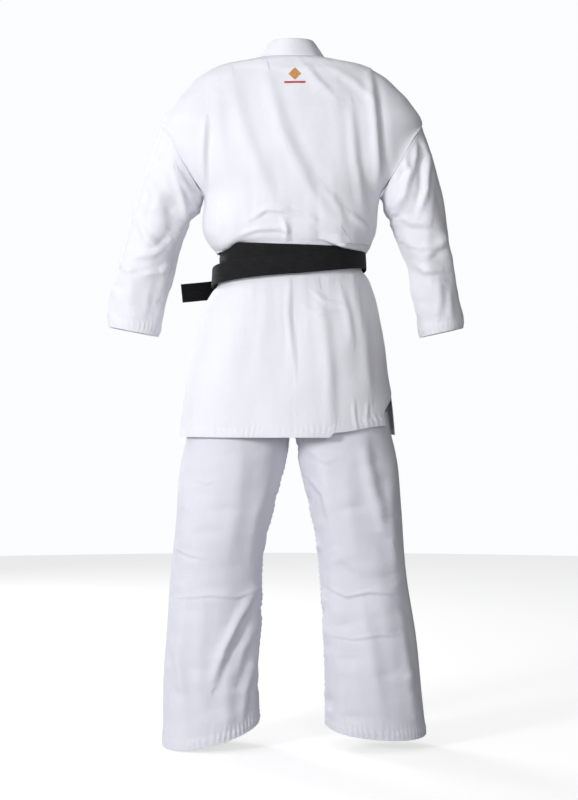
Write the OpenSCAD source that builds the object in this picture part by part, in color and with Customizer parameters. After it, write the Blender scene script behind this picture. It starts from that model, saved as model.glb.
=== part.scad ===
// Martial arts uniform, shaped as it is worn: wrap jacket, twice-wound belt and straight trousers.
// +Z is up, the front faces -Y and the wearer's left is +X. Heights in the outlines are counted
// from the lowest trouser hem, and the whole model is lowered so that the origin is the centre of
// the neck opening.

/* [Cloth] */
// Thickness of the jacket and trouser cloth
cloth = 3; // [2:0.5:3]
// Gap between neighbouring pieces of one garment
gap = 1; // [0.6:0.2:1.4]
// Depth of the folded hems
hem_depth = 18; // [14:1:22]

/* [Jacket] */
// Width of the lapel band
lapel_w = 42; // [36:1:46]
// Half depth of the armholes, front to back
armhole_depth = 70; // [64:1:72]
// How far the under front panel lies inside the over panel
wrap_depth = 10; // [9.6:0.2:10]

/* [Belt] */
// Width of the belt
belt_w = 40; // [36:1:42]
// Thickness of the belt
belt_cloth = 4; // [3:0.5:4]

/* [Trousers] */
// Height of the elastic waistband
waistband_h = 40; // [30:1:42]

/* [Hidden] */

jacket_colour = "white";
trouser_colour = "whitesmoke";
belt_colour = "black";
neck_z = 1438;
gusset_lift = 7.5;       // outer face of the underarm gusset above the sleeve
gusset_drop = 16;        // how far its top corner hangs below the armhole seam
// Inside half width, half depth and shift of each turn of the belt
inner_turn = [145.5, 113, 2];
outer_turn = [158, 119, 6];
roundness = 2.4;        // exponent of the rounded sections: 2 is an ellipse
armpit_z = 1150;
shoulder_z = 1300;
skirt_top_z = 960;
jacket_hem_z = 652;

// Height, half width, half depth and sideways shift of the jacket, hem to neck
jacket_outline = [
    [652, 225, 131, 8], [716, 219, 128, 8], [766, 211, 126, 8], [817, 202, 123, 7],
    [867, 190, 119, 7], [918, 177, 114, 7], [950, 162, 110, 5], [962, 152, 107, 5],
    [1048, 139, 107, 1], [1056, 157, 110, 3], [1066, 168, 112, 5], [1100, 178, 116, 4],
    [1150, 185, 117, 0],
    [1225, 228.5, 115, 0], [1300, 272, 105, 0], [1346, 246, 92, 0], [1371, 223, 84, 0],
    [1396, 200, 75, 0], [1410, 180, 70, 0], [1425, 150, 64, 0], [1436, 92, 58, 0]
];
// Height, half width, half depth and sideways shift of the trousers above the legs
seat_outline = [
    [651, 208, 108, 6], [720, 197, 108, 6], [800, 178, 106, 6], [850, 164, 102, 5],
    [900, 148, 97, 5], [960, 133, 91, 4], [1025, 130, 88, 4]
];
torso_rows = [964, 1010, 1048, 1056, 1066, 1100, 1150, 1180, 1225, 1270, 1300, 1346, 1396, 1425, 1436];
skirt_rows = [skirt_top_z, 918, 867, 817, 740, jacket_hem_z + hem_depth + gap];
hem_rows = [jacket_hem_z + hem_depth, jacket_hem_z];

// Rings of the sleeves and legs: outer edge x, z; inner edge x, z; half depth; middle y
sleeve_left = [
    [272, 1300, 185, 1150, 70, 0], [300, 1220, 196, 1118, 72, 0], [325, 1145, 213, 1098, 70, 0],
    [351, 1052, 236, 1044, 64, -4], [366, 1000, 250, 992, 60, -8], [384, 930, 266, 922, 56, -14],
    [388, 900, 274, 884, 55, -17], [385, 878, 283, 858, 54, -19]
];
sleeve_right = [
    [-272, 1300, -185, 1150, 70, 0], [-296, 1220, -194, 1120, 72, 0],
    [-318, 1145, -206, 1102, 70, 0], [-332, 1056, -226, 1048, 64, -4],
    [-344, 1000, -246, 992, 60, -8], [-356, 930, -256, 922, 56, -14],
    [-362, 900, -263, 884, 55, -17], [-360, 876, -270, 856, 54, -19]
];
leg_left = [
    [219, 648, 7, 648, 102, 0], [231, 575, 20, 575, 97, 1], [241, 500, 38, 500, 90, 3],
    [249, 430, 54, 430, 85, 4], [253, 370, 62, 370, 82, 4], [263, 230, 66, 240, 80, 6],
    [270, 110, 68, 130, 78, 8], [272, 26, 67, 76, 77, 8], [271, 6, 67, 56, 77, 8]
];
leg_right = [
    [-208, 648, -7, 648, 102, 0], [-221, 575, -19, 575, 97, 1], [-228, 500, -36, 500, 90, 3],
    [-234, 430, -50, 430, 85, 4], [-240, 370, -57, 370, 82, 4], [-258, 230, -65, 240, 80, 6],
    [-272, 110, -68, 120, 78, 8], [-279, 48, -71, 66, 77, 8], [-280, 28, -71, 46, 77, 8]
];
elbow_ring = 3;
knee_ring = 4;
elbow_hinge_y = -28;
elbow_notch = 36;       // half the angle that the fold of the elbow leaves open
knee_hinge_y = 26;
knee_notch = 28;
hip_hinge_y = -60;
hip_notch = 42;

function column(outline, k) = [for (row = outline) [row[0], row[k]]];
function power(v, e) = sign(v) * pow(abs(v), e);
function steps(from, to, count) = [for (i = [0:count]) from + (to - from) * i / count];

// Half depth that the armhole leaves open at the jacket's side
function armhole(z) =
    z <= armpit_z || z >= shoulder_z ? 0
    : armhole_depth * sqrt(1 - pow((2 * z - armpit_z - shoulder_z) / (shoulder_z - armpit_z), 2));

// Point of a body section: side is 1 or -1, face is 1 at the back and -1 at the front, and the
// angle runs from 0 at the side seam to 90 at the middle and on past it
function section_point(outline, z, side, face, angle, lay, opening = 0, seam = 0) =
    let (w = lookup(z, column(outline, 1)) + lay,
         d = lookup(z, column(outline, 2)) + lay,
         middle = lookup(z, column(outline, 3)),
         lift = lay * max(0, (z - shoulder_z) / (neck_z - shoulder_z)))
    [middle + side * (seam / 2 + w * power(cos(angle), 2 / roundness)),
     face * (gap / 2 + opening + (d - opening) * pow(abs(sin(angle)), 2 / roundness)),
     z + lift];

function jacket_point(z, side, face, angle, lay, seam = 0) =
    section_point(jacket_outline, z, side, face, angle, lay, armhole(z), seam);

// Angle at which the jacket's section reaches x on the wearer's left, counted from that side
function angle_at(z, x) =
    let (w = lookup(z, column(jacket_outline, 1)), middle = lookup(z, column(jacket_outline, 3)))
    acos(power(min(1, max(-1, (x - middle) / w)), roundness / 2));

// Free edge of the wrap front: a straight line from the neck across to the other hip
function wrap_edge(z) = z > 760 ? (z - 1225) / 3 : -155;

// Closed solid between an outer and an inner grid of points
module shell(outer, inner, out = 1, ring = false) {
    rows = len(outer);
    cols = len(outer[0]);
    last = ring ? cols - 1 : cols - 2;
    function id(i, j, layer) = (layer * rows + i) * cols + j % cols;
    skins = [for (i = [0:rows - 2], j = [0:last])
        let (a = id(i, j, 0), b = id(i, j + 1, 0), c = id(i + 1, j + 1, 0), d = id(i + 1, j, 0),
             e = id(i, j, 1), f = id(i, j + 1, 1), g = id(i + 1, j + 1, 1), h = id(i + 1, j, 1))
        each [[a, b, c], [a, c, d], [e, g, f], [e, h, g]]];
    ends = [for (j = [0:last])
        let (a = id(0, j, 0), b = id(0, j + 1, 0), e = id(0, j, 1), f = id(0, j + 1, 1),
             c = id(rows - 1, j + 1, 0), d = id(rows - 1, j, 0),
             g = id(rows - 1, j + 1, 1), h = id(rows - 1, j, 1))
        each [[b, a, e], [b, e, f], [d, c, g], [d, g, h]]];
    edges = ring ? [] : [for (i = [0:rows - 2])
        let (a = id(i, 0, 0), d = id(i + 1, 0, 0), e = id(i, 0, 1), h = id(i + 1, 0, 1),
             b = id(i, cols - 1, 0), c = id(i + 1, cols - 1, 0),
             f = id(i, cols - 1, 1), g = id(i + 1, cols - 1, 1))
        each [[a, d, h], [a, h, e], [c, b, f], [c, f, g]]];
    faces = concat(skins, ends, edges);
    translate([0, 0, -neck_z])
        polyhedron(
            points = concat([for (row = outer) each row], [for (row = inner) each row]),
            faces = out > 0 ? faces : [for (f = faces) [f[2], f[1], f[0]]]);
}

// Back half of one side, from the side seam to the centre seam
module back_half(rows, side) {
    function grid(lay) = [for (z = rows)
        [for (a = steps(0, 90, 7)) jacket_point(z, side, 1, a, lay, seam = gap)]];
    shell(grid(0), grid(-cloth), out = -side * sign(rows[1] - rows[0]));
}

// Front panel of one side, from the side seam to the wrap edge past the middle. The under panel
// sinks to wrap_depth below the over panel before they cross.
module front_half(rows, side, under = 0) {
    function sink(t) = -under * min(1, 2.5 * t);
    function grid(lay) = [for (z = rows)
        let (reach = angle_at(z, wrap_edge(z)))
        [for (t = steps(0, 1, 9)) jacket_point(z, side, -1, t * reach, lay + sink(t))]];
    shell(grid(0), grid(-cloth), out = side * sign(rows[1] - rows[0]));
}

// Band along the wrap edge, lying on its front panel
module lapel(side, base) {
    rows = [966, 1010, 1048, 1056, 1066, 1100, 1150, 1200, 1250, 1300, 1346, 1396];
    function grid(lay) = [for (z = rows)
        [for (x = steps(wrap_edge(z) - 2, wrap_edge(z) + lapel_w, 3))
            jacket_point(z, side, -1, angle_at(z, x), lay)]];
    shell(grid(base + 4.5), grid(base + 1.5), out = -side);
}

// One ring of a sleeve or leg. notch lifts the ring along the limb where it lies beyond the hinge
// line, on the side that fold points to, so that the limb can bend.
function limb_ring(ring, lay, notch = 0, hinge_y = 0, fold = 1) =
    let (edge = [ring[0] - ring[2], ring[1] - ring[3]], span = norm(edge), across = edge / span,
         along = sign(ring[0]) * [-across[1], across[0]],
         middle = [ring[0] + ring[2], ring[1] + ring[3]] / 2)
    [for (a = [0:22.5:359])
        let (reach = (span / 2 + lay) * power(cos(a), 2 / 2.2),
             y = ring[5] + (ring[4] + lay) * power(sin(a), 2 / 2.2),
             lift = notch * max(0, fold * (y - hinge_y)),
             p = middle + reach * across + lift * along)
        [p[0], y, p[1]]];

// Tube through the rings from first to last, with notches at its ends where it meets a joint
module limb(rings, first, last, lay = 0, top = [0, 0, 1], bottom = [0, 0, 1], from = 0, to = 0) {
    function grid(l) = [for (i = [first:last])
        let (end = i == first ? top : i == last ? bottom : [0, 0, 1],
             drop = (i == first ? -from : i == last ? to : 0),
             moved = limb_ring(rings[i], l, end[0], end[1], end[2]))
        [for (p = moved) p + [0, 0, drop]]];
    shell(grid(lay), grid(lay - cloth), out = sign(rings[0][0]), ring = true);
}

module upper_sleeve(rings) {
    // moved off the armhole along the normal of its plane
    off = [0.87 * sign(rings[0][0]), 0, -0.5] * (gap + 0.5);
    translate(off)
        limb(rings, 0, elbow_ring, bottom = [tan(elbow_notch), elbow_hinge_y, -1], to = 3);
}

module lower_sleeve(rings) {
    limb(rings, elbow_ring, 6, top = [-tan(elbow_notch), elbow_hinge_y, -1]);
}

module sleeve_hem(rings) {
    limb(rings, 6, 7, from = gap);
}

// Diamond let into the underside of the sleeve beside the armpit
module underarm_gusset(rings) {
    off = [0.87 * sign(rings[0][0]), 0, -0.5] * 2.4 * (gap + 0.5);
    function patch(lay) = [for (i = [0:2])
        let (ring = limb_ring(rings[i], lay), spread = [1, 2, 1][i])
        [for (k = steps(-spread, spread, 4))
            let (a = 8 + k, low = floor(a), part = a - low)
            ring[low] * (1 - part) + ring[(low + 1) % 16] * part + [0, 0, i == 0 ? -gusset_drop : 0]]];
    translate(off) shell(patch(gusset_lift), patch(gusset_lift - 2.5), out = sign(rings[0][0]));
}

// Whole back skirt between the two side vents, in one width
module back_width(rows) {
    function grid(lay) = [for (z = rows)
        [for (a = steps(0, 180, 16)) jacket_point(z, 1, 1, a, lay)]];
    shell(grid(0), grid(-cloth), out = 1);
}

// Square patch on the outside of the back skirt at the foot of a side vent
module vent_patch(side) {
    rows = [jacket_hem_z + 34, jacket_hem_z + 22];
    function grid(lay) = [for (z = rows)
        [for (a = steps(6, 12, 2)) jacket_point(z, side, 1, a, lay)]];
    shell(grid(3), grid(1.2), out = side);
}

// Short tape sewn inside a front panel near its side seam
module inner_tie(side) {
    rows = [1150, 1125, 1100, 1075];
    function grid(lay) = [for (z = rows)
        [for (a = steps(26, 32, 1)) jacket_point(z, side, -1, a, lay)]];
    shell(grid(-18), grid(-20), out = -side);
}

// Belt wound round the waist: ring is its inside half width, half depth and shift to the left,
// middle its height, and tilt and rise how far it climbs to the wearer's left and at the back
module belt_wrap(ring, middle, tilt, rise) {
    function level(a) = middle + tilt * cos(a) + rise * sin(a);
    function grid(lay) = [for (edge = [1, -1])
        [for (a = [0:8:359])
            [ring[2] + (ring[0] + lay) * power(cos(a), 2 / roundness),
             (ring[1] + lay) * power(sin(a), 2 / roundness),
             level(a) + edge * belt_w / 2]]];
    shell(grid(belt_cloth), grid(0), out = 1, ring = true);
}

// Stiff free end of the belt, from beside the knot along hand-set points
module belt_end(path) {
    half = [0, 0, belt_w / 2];
    function grid(y) = [for (p = path) [p + [0, y, 0] + half, p + [0, y, 0] - half]];
    shell(grid(-belt_cloth), grid(0), out = sign(path[1][0]));
}

module seat_half(side) {
    rows = [1025 - waistband_h - gap, 900, 850, 800, 720, 651];
    function grid(lay) = [for (z = rows)
        concat([for (a = steps(90, 0, 6)) section_point(seat_outline, z, side, -1, a, lay, 0, gap)],
               [for (a = steps(0, 90, 6)) section_point(seat_outline, z, side, 1, a, lay, 0, gap)])];
    shell(grid(0), grid(-cloth), out = side);
}

module back_panel_left() { color(jacket_colour) back_half(torso_rows, 1); }
module back_panel_right() { color(jacket_colour) back_half(torso_rows, -1); }
module front_panel_left() { color(jacket_colour) front_half(torso_rows, 1); }
module front_panel_right() { color(jacket_colour) front_half(torso_rows, -1, wrap_depth); }

// Second layer of cloth inside the shoulders and the top of the back
module shoulder_lining() {
    rows = [1335, 1365, 1396, 1420];
    function grid(lay) = [for (z = rows)
        [for (a = steps(12, 168, 10)) jacket_point(z, 1, 1, a, lay)]];
    color(jacket_colour) shell(grid(-5), grid(-7), out = -1);
}

// Stand-up part of the lapel band round the back and sides of the neck
module collar_band() {
    function grid(lay) = [for (t = steps(0, 1, 2))
        [for (a = steps(-28, 208, 14))
            [(76 - 30 * t + lay) * cos(a), (50 - 8 * t + lay) * sin(a),
             1436 + 42 * t + 22 * min(0, sin(a))]]];
    color(jacket_colour) shell(grid(0), grid(-4), out = -1);
}

module lapel_left() { color(jacket_colour) lapel(1, 0); }
module lapel_right() { color(jacket_colour) lapel(-1, -wrap_depth); }

// Generic badge on the upper back: a diamond above a short bar
module emblem_diamond() {
    color("orange")
        translate([-6, 84, 1396 - neck_z])
            rotate([70, 0, 0])
                rotate(45)
                    linear_extrude(1.2) square(15, center = true);
}

module emblem_bar() {
    color("red")
        translate([-6, 88.5, 1379 - neck_z])
            rotate([72, 0, 0])
                linear_extrude(1.2) square([44, 4], center = true);
}

module inner_tie_left() { color(jacket_colour) inner_tie(1); }
module inner_tie_right() { color(jacket_colour) inner_tie(-1); }
module upper_sleeve_left() { color(jacket_colour) upper_sleeve(sleeve_left); }
module upper_sleeve_right() { color(jacket_colour) upper_sleeve(sleeve_right); }
module underarm_gusset_left() { color(jacket_colour) underarm_gusset(sleeve_left); }
module underarm_gusset_right() { color(jacket_colour) underarm_gusset(sleeve_right); }
module lower_sleeve_left() { color(jacket_colour) lower_sleeve(sleeve_left); }
module lower_sleeve_right() { color(jacket_colour) lower_sleeve(sleeve_right); }
module sleeve_hem_left() { color(jacket_colour) sleeve_hem(sleeve_left); }
module sleeve_hem_right() { color(jacket_colour) sleeve_hem(sleeve_right); }

module back_skirt() { color(jacket_colour) back_width(skirt_rows); }
module back_skirt_hem() {
    color(jacket_colour) back_width(hem_rows);
}
module vent_patch_left() { color(jacket_colour) vent_patch(1); }
module vent_patch_right() { color(jacket_colour) vent_patch(-1); }
module front_skirt_left() { color(jacket_colour) front_half(skirt_rows, 1); }
module front_skirt_right() { color(jacket_colour) front_half(skirt_rows, -1, wrap_depth); }
module front_skirt_hem_left() { color(jacket_colour) front_half(hem_rows, 1); }
module front_skirt_hem_right() { color(jacket_colour) front_half(hem_rows, -1, wrap_depth); }

module belt_inner_wrap() { color(belt_colour) belt_wrap(inner_turn, 1024, 6, 0); }
module belt_outer_wrap() { color(belt_colour) belt_wrap(outer_turn, 998, -17, 5); }

// Flattened square knot in front of both wraps
module belt_knot() {
    color(belt_colour)
        translate([5, -124.5, 1003 - neck_z])
            hull() {
                for (x = [-22, 22], z = [-18, 18])
                    translate([x, 0, z])
                        rotate([90, 0, 0]) cylinder(h = 10, r = 8, $fn = 24);
                rotate([90, 0, 0]) cylinder(h = 22, r = 16, $fn = 24);
            }
}

module belt_end_left() {
    color(belt_colour)
        belt_end([[38, -130, 990], [110, -134, 976], [170, -130, 962], [238, -118, 955]]);
}
module belt_end_right() {
    color(belt_colour)
        belt_end([[-28, -132, 990], [-70, -142, 968], [-110, -150, 940], [-140, -156, 906]]);
}

// Waistband with the elastic sewn inside it
module trouser_waistband() {
    rows = [1025, 1025 - waistband_h];
    function grid(lay) = [for (z = rows)
        concat([for (a = steps(0, 165, 11)) section_point(seat_outline, z, 1, 1, a, lay - 1)],
               [for (a = steps(180, 15, 11)) section_point(seat_outline, z, 1, -1, a, lay - 1)])];
    color(trouser_colour) shell(grid(0), grid(-cloth), out = 1, ring = true);
}

module trouser_seat_left() { color(trouser_colour) seat_half(1); }
module trouser_seat_right() { color(trouser_colour) seat_half(-1); }

// Diamond of cloth between the legs, bent up towards the front and back seams
module crotch_gusset() {
    function grid(lift) = [for (t = steps(-1, 1, 6))
        [for (s = steps(-1, 1, 2))
            [6 + s * (4 + 20 * (1 - abs(t))), 98 * t, 652 + 14 * t * t + lift]]];
    color(trouser_colour) shell(grid(cloth), grid(0), out = -1);
}

module thigh(rings) {
    limb(rings, 0, knee_ring, top = [-tan(hip_notch), hip_hinge_y, -1],
         bottom = [tan(knee_notch), knee_hinge_y, 1], to = 1.5);
}
module lower_leg(rings) {
    limb(rings, knee_ring, 7, top = [-tan(knee_notch), knee_hinge_y, 1]);
}
module leg_hem(rings) {
    limb(rings, 7, 8, lay = 0.5, from = gap);
}

module thigh_left() { color(trouser_colour) thigh(leg_left); }
module thigh_right() { color(trouser_colour) thigh(leg_right); }
module lower_leg_left() { color(trouser_colour) lower_leg(leg_left); }
module lower_leg_right() { color(trouser_colour) lower_leg(leg_right); }
module leg_hem_left() { color(trouser_colour) leg_hem(leg_left); }
module leg_hem_right() { color(trouser_colour) leg_hem(leg_right); }

back_panel_left();
back_panel_right();
front_panel_left();
front_panel_right();
shoulder_lining();
collar_band();
lapel_left();
lapel_right();
emblem_diamond();
emblem_bar();
inner_tie_left();
inner_tie_right();
upper_sleeve_left();
upper_sleeve_right();
underarm_gusset_left();
underarm_gusset_right();
lower_sleeve_left();
lower_sleeve_right();
sleeve_hem_left();
sleeve_hem_right();
back_skirt();
back_skirt_hem();
vent_patch_left();
vent_patch_right();
front_skirt_left();
front_skirt_hem_left();
front_skirt_right();
front_skirt_hem_right();
belt_inner_wrap();
belt_outer_wrap();
belt_knot();
belt_end_left();
belt_end_right();
trouser_waistband();
trouser_seat_left();
trouser_seat_right();
crotch_gusset();
thigh_left();
thigh_right();
lower_leg_left();
lower_leg_right();
leg_hem_left();
leg_hem_right();
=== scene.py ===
"""Martial arts uniform: the looks of the jacket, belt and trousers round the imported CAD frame.

Cloth is built as grids of points from the same outlines as the CAD, in millimetres with heights
counted from the lowest trouser hem, and moved to the CAD frame, in metres, when it becomes a mesh.
"""

import math

import bpy
import numpy as np
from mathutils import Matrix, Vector


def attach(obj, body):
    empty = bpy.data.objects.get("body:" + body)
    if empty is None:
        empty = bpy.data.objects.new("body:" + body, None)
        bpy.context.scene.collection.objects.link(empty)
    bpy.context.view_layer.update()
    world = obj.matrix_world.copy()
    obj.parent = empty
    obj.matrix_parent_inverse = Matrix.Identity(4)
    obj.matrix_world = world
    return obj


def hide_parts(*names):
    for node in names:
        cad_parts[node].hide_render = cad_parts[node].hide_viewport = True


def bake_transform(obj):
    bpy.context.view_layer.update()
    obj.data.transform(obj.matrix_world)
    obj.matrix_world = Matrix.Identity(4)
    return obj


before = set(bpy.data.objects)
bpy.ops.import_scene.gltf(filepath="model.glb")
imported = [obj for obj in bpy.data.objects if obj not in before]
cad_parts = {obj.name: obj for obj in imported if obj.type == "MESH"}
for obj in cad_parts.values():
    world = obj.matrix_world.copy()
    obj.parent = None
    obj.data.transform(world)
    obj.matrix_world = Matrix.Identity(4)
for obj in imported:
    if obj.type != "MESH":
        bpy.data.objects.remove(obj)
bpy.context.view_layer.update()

# ---------------------------------------------------------------- camera, floor and light

NECK_Z = 1438.0  # height of the frame's origin above the lowest hem
FOCUS = Vector((0.006, 0.0, -0.7135))
DISTANCE = 3.967
LENS_MM = 85
FLOOR_GLOW = 0.68
COTTON_WHITE = (0.84, 0.842, 0.895)


def add_camera():
    data = bpy.data.cameras.new("camera")
    data.lens = LENS_MM
    data.clip_end = 50
    camera = bpy.data.objects.new("camera", data)
    camera.location = FOCUS + Vector((0, DISTANCE, 0))
    camera.rotation_euler = (math.radians(90), 0, math.radians(180))
    bpy.context.scene.collection.objects.link(camera)
    bpy.context.scene.camera = camera


def add_floor():
    """Pale floor at the lowest hem. The camera sees it glow, as a lit studio sheet does."""
    bpy.ops.mesh.primitive_circle_add(
        vertices=96, radius=5, fill_type="NGON", location=(0, 0, -NECK_Z / 1000 - 0.001))
    floor = bpy.context.object
    floor.name = "floor"
    material = bpy.data.materials.new("floor")
    material.use_nodes = True
    shader = material.node_tree.nodes["Principled BSDF"]
    shader.inputs["Base Color"].default_value = (0.42, 0.42, 0.425, 1)
    shader.inputs["Roughness"].default_value = 0.9
    shader.inputs["Emission Color"].default_value = (1, 1, 1, 1)
    nodes, links = material.node_tree.nodes, material.node_tree.links
    rays = nodes.new("ShaderNodeLightPath")
    glow = nodes.new("ShaderNodeMath")
    glow.operation = "MULTIPLY"
    glow.inputs[1].default_value = FLOOR_GLOW
    links.new(rays.outputs["Is Camera Ray"], glow.inputs[0])
    links.new(glow.outputs[0], shader.inputs["Emission Strength"])
    floor.data.materials.append(material)


def add_area(name, location, target, size, watts):
    data = bpy.data.lights.new(name, "AREA")
    data.shape = "DISK"
    data.size = size
    data.energy = watts
    light = bpy.data.objects.new(name, data)
    light.location = location
    light.rotation_euler = (Vector(target) - light.location).to_track_quat("-Z", "Y").to_euler()
    bpy.context.scene.collection.objects.link(light)


def add_light():
    """Sky that is dark on the wearer's right and bright on the left, and four soft lamps. The
    camera sees the sky as plain white."""
    world = bpy.data.worlds.new("studio")
    bpy.context.scene.world = world
    world.use_nodes = True
    nodes, links = world.node_tree.nodes, world.node_tree.links
    place = nodes.new("ShaderNodeTexCoord")
    parts = nodes.new("ShaderNodeSeparateXYZ")
    side = nodes.new("ShaderNodeMapRange")
    side.inputs["From Min"].default_value = -0.6
    side.inputs["From Max"].default_value = 0.5
    side.inputs["To Min"].default_value = 0.02
    side.inputs["To Max"].default_value = 0.5
    links.new(place.outputs["Generated"], parts.inputs[0])
    links.new(parts.outputs["X"], side.inputs["Value"])
    rays = nodes.new("ShaderNodeLightPath")
    seen = nodes.new("ShaderNodeMath")
    seen.operation = "MAXIMUM"
    links.new(side.outputs["Result"], seen.inputs[0])
    links.new(rays.outputs["Is Camera Ray"], seen.inputs[1])
    links.new(seen.outputs[0], nodes["Background"].inputs["Strength"])
    nodes["Background"].inputs["Color"].default_value = (0.975, 0.98, 1.0, 1)
    add_area("key", (2.5, 2.8, 0.1), (0, 0, -0.8), 0.9, 82)
    add_area("top", (0.6, 0.9, 2.4), (0, 0, -0.4), 1.4, 8)
    add_area("soft_fill", (-0.8, 4.2, 0.1), (0, 0, -0.8), 1.6, 46)
    add_area("front_fill", (2.0, -2.8, 0.6), (0, 0, -0.6), 1.4, 70)
    bpy.context.scene.view_settings.view_transform = "Standard"


add_camera()
add_floor()
add_light()

# ---------------------------------------------------------------- materials


class Nodes:
    """Short helper round one material's node tree."""

    def __init__(self, name, roughness, sheen=0.0):
        self.material = bpy.data.materials.new(name)
        self.material.use_nodes = True
        self.nodes = self.material.node_tree.nodes
        self.links = self.material.node_tree.links
        self.shader = self.nodes["Principled BSDF"]
        self.shader.inputs["Roughness"].default_value = roughness
        self.shader.inputs["Specular IOR Level"].default_value = 0.25
        self.shader.inputs["Sheen Weight"].default_value = sheen
        self.shader.inputs["Sheen Roughness"].default_value = 0.5

    def node(self, kind, **inputs):
        made = self.nodes.new("ShaderNode" + kind)
        for name, value in inputs.items():
            socket = made.inputs[name.replace("_", " ")]
            if hasattr(value, "is_output"):
                self.links.new(value, socket)
            else:
                socket.default_value = value
        return made

    def math(self, operation, a, b=0.0):
        made = self.nodes.new("ShaderNodeMath")
        made.operation = operation
        for socket, value in zip(made.inputs, (a, b)):
            if hasattr(value, "is_output"):
                self.links.new(value, socket)
            else:
                socket.default_value = value
        return made.outputs[0]

    def noise(self, vector, scale, detail=2.0, roughness=0.5):
        made = self.node("TexNoise", Vector=vector, Scale=scale, Detail=detail, Roughness=roughness)
        return made.outputs["Fac"]

    def stretched(self, vector, scale):
        made = self.node("Mapping", Vector=vector)
        made.inputs["Scale"].default_value = scale
        return made.outputs[0]

    def ramp(self, factor, low, high, colour_a, colour_b):
        made = self.node("ValToRGB", Fac=factor)
        made.color_ramp.elements[0].position = low
        made.color_ramp.elements[1].position = high
        made.color_ramp.elements[0].color = (*colour_a, 1)
        made.color_ramp.elements[1].color = (*colour_b, 1)
        return made.outputs[0]

    def colour(self, socket):
        self.links.new(socket, self.shader.inputs["Base Color"])

    def bump(self, height, distance, strength=1.0, below=None):
        made = self.node("Bump", Height=height, Distance=distance, Strength=strength)
        if below is not None:
            self.links.new(below, made.inputs["Normal"])
        return made.outputs[0]

    def finish_normal(self, socket):
        self.links.new(socket, self.shader.inputs["Normal"])


def weave_height(n, uv, pitch, twist=0.5):
    """Height of a plain weave of that pitch, in metres, over the cloth's own measured surface."""
    parts = n.node("SeparateXYZ", Vector=uv).outputs
    warp = n.math("SINE", n.math("MULTIPLY", parts["X"], 2 * math.pi / pitch))
    weft = n.math("SINE", n.math("MULTIPLY", parts["Y"], 2 * math.pi / pitch))
    over = n.math("MULTIPLY", warp, weft)
    slub = n.noise(n.stretched(uv, (90, 900, 1)), 1.0)
    return n.math("ADD", n.math("MULTIPLY", over, twist), n.math("MULTIPLY", slub, 0.8))


def cotton(name, light, shade, crease=1.0, pitch=0.0009):
    """White plain-weave cotton: woven bump, soft creases and a faint unevenness of colour."""
    n = Nodes(name, 0.88, sheen=0.12)
    uv = n.node("TexCoord").outputs["UV"]
    place = n.node("TexCoord").outputs["Object"]
    cloudy = n.noise(place, 7.0, 4.0)
    streak = n.noise(n.stretched(uv, (350, 24, 1)), 1.0)
    tone = n.math("ADD", n.math("MULTIPLY", cloudy, 0.7), n.math("MULTIPLY", streak, 0.3))
    n.colour(n.ramp(tone, 0.3, 0.7, shade, light))
    creases = n.noise(n.stretched(place, (1, 1, 0.6)), 22.0, 3.0, 0.55)
    soft = n.bump(creases, 0.0035 * crease, 0.4)
    fine = n.bump(n.noise(place, 95.0, 2.0), 0.0007, 0.5, soft)
    n.finish_normal(n.bump(weave_height(n, uv, pitch), 0.00022, 0.6, fine))
    return n.material


def belt_cotton(name):
    """Black cotton belt: close rows of stitching and a dusty nap that is lighter on the ridges."""
    n = Nodes(name, 0.82, sheen=0.04)
    uv = n.node("TexCoord").outputs["UV"]
    place = n.node("TexCoord").outputs["Object"]
    streak = n.noise(n.stretched(uv, (60, 900, 1)), 1.0, 3.0)
    dust = n.noise(place, 60.0, 3.0)
    tone = n.math("ADD", n.math("MULTIPLY", streak, 0.6), n.math("MULTIPLY", dust, 0.4))
    n.colour(n.ramp(tone, 0.35, 0.7, (0.004, 0.004, 0.0045), (0.013, 0.013, 0.015)))
    nap = n.bump(n.noise(place, 420.0, 2.0), 0.0004, 0.5)
    n.finish_normal(n.bump(weave_height(n, uv, 0.0014), 0.0004, 0.7, nap))
    return n.material


def embroidery(name, dark, light, angle):
    """Satin-stitch thread lying in one direction, with painted shade in the grooves between the
    threads and a random unevenness of colour.
    """
    n = Nodes(name, 0.45, sheen=0.2)
    place = n.node("TexCoord").outputs["Object"]
    turned = n.node("Mapping", Vector=place)
    turned.inputs["Rotation"].default_value = (0, angle, 0)
    parts = n.node("SeparateXYZ", Vector=turned.outputs[0]).outputs
    thread = n.math("SINE", n.math("MULTIPLY", parts["X"], 2 * math.pi / 0.0007))
    uneven = n.noise(place, 260.0, 2.0)
    # painted shade: the colour follows the threads' own relief and is darker in the grooves between
    # them; uneven adds a random tone
    tone = n.math("ADD", n.math("MULTIPLY", thread, 0.25), uneven)
    n.colour(n.ramp(tone, 0.2, 0.85, dark, light))
    n.finish_normal(n.bump(thread, 0.0003, 0.8))
    return n.material


def thread_material(name, light, shade):
    """Twisted sewing thread whose colour follows the twist's relief: painted shade in its hollows.
    """
    n = Nodes(name, 0.6, sheen=0.1)
    place = n.node("TexCoord").outputs["Object"]
    twist = n.noise(place, 1500.0, 2.0)
    # painted shade: the noise that makes the twist's relief also sets the colour, darker in its
    # hollows
    n.colour(n.ramp(twist, 0.3, 0.7, shade, light))
    n.finish_normal(n.bump(twist, 0.0002, 0.5))
    return n.material


JACKET = cotton("jacket_cotton", COTTON_WHITE, (0.79, 0.793, 0.855))
LAPEL = cotton("lapel_cotton", COTTON_WHITE, (0.795, 0.798, 0.86), 0.5)
TROUSER = cotton("trouser_cotton", (0.76, 0.762, 0.835), (0.70, 0.703, 0.782), 1.1)
BELT = belt_cotton("belt_cotton")
ORANGE = embroidery("orange_thread", (0.62, 0.22, 0.04), (0.93, 0.5, 0.16), 0.9)
RED = embroidery("red_thread", (0.5, 0.03, 0.03), (0.85, 0.12, 0.1), 0.3)
WHITE_THREAD = thread_material("white_thread", (0.9, 0.9, 0.92), (0.72, 0.72, 0.77))

# ---------------------------------------------------------------- curves and folds


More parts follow.
